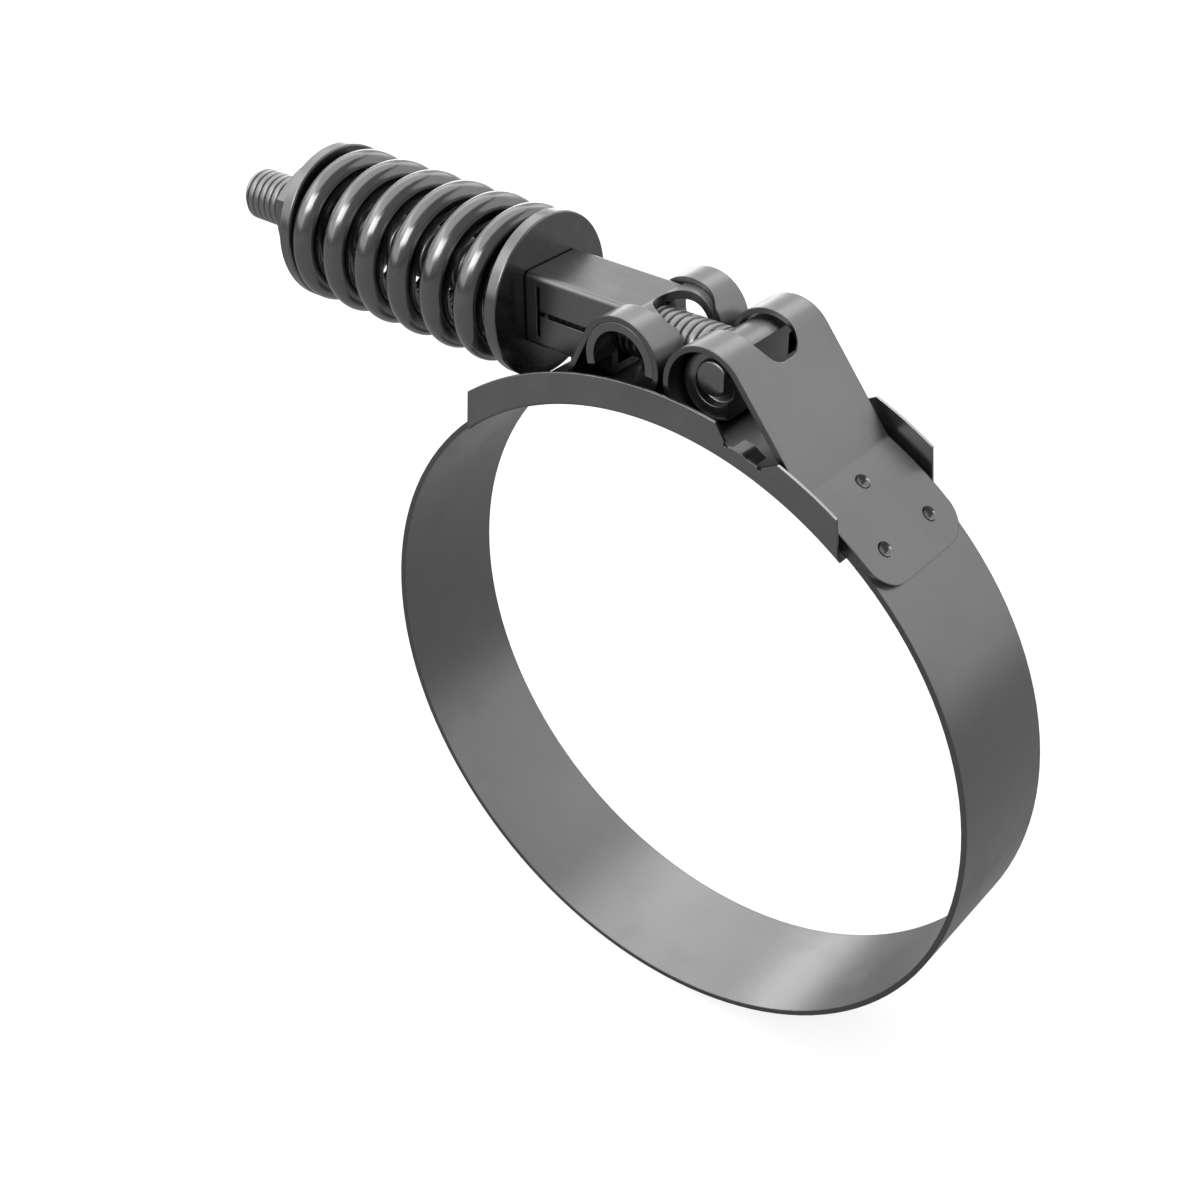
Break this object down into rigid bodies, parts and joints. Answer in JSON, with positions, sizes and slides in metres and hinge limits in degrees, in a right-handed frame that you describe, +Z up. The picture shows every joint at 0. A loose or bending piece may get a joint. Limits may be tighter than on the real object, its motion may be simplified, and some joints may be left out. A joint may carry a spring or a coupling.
{
  "type": "t bolt clamp",
  "caption": "Spring-loaded T bolt band clamp: a flat steel band closed by a bolt through folded loops, with a coil spring, washers and a nut.",
  "frame": {"origin": "centre of the ring, midway across the band's width", "axes": "+X along the bolt towards its T head, +Y along the ring's axis to the rear, +Z up through the loops"},
  "size_m": [0.1373, 0.0234, 0.1184],
  "materials": {
    "band_steel": "rolled stainless strip, fine grain along the band",
    "bridge_steel": "thin pressed stainless sheet",
    "trunnion_steel": "thick folded sheet, plated",
    "bolt_steel": "cold formed and plated, satin",
    "washer_steel": "stamped and plated, satin",
    "spring_steel": "smooth drawn wire, bright plated",
    "nut_steel": "cold formed and plated, satin"
  },
  "bodies": {
    "clamp": {"band": "band_steel", "trunnion": "trunnion_steel", "t_bolt": "bolt_steel", "inner_washer": "washer_steel", "spring": "spring_steel"},
    "bridge": {"bridge": "bridge_steel"},
    "outer_washer": {"outer_washer": "washer_steel"},
    "nut": {"nut": "nut_steel"}
  },
  "joints": [
    {"name": "nut_travel", "type": "slide", "parent": "clamp", "child": "outer_washer", "axis": [1, 0, 0], "range_m": [0, 0.01], "deforming": ["spring"]},
    {"name": "nut_turn", "type": "hinge", "parent": "outer_washer", "child": "nut", "pos_m": [-0.0724, 0, 0.0558], "axis": [1, 0, 0], "range_deg": [0, 2881]},
    {"name": "bridge_float", "type": "hinge", "parent": "clamp", "child": "bridge", "pos_m": [0, 0, 0], "axis": [0, 1, 0], "range_deg": [-1.5, 1.5]}
  ],
  "couplings": [
    {"joint": "nut_turn", "follows": "nut_travel", "rad_per_m": 5026.5}
  ]
}
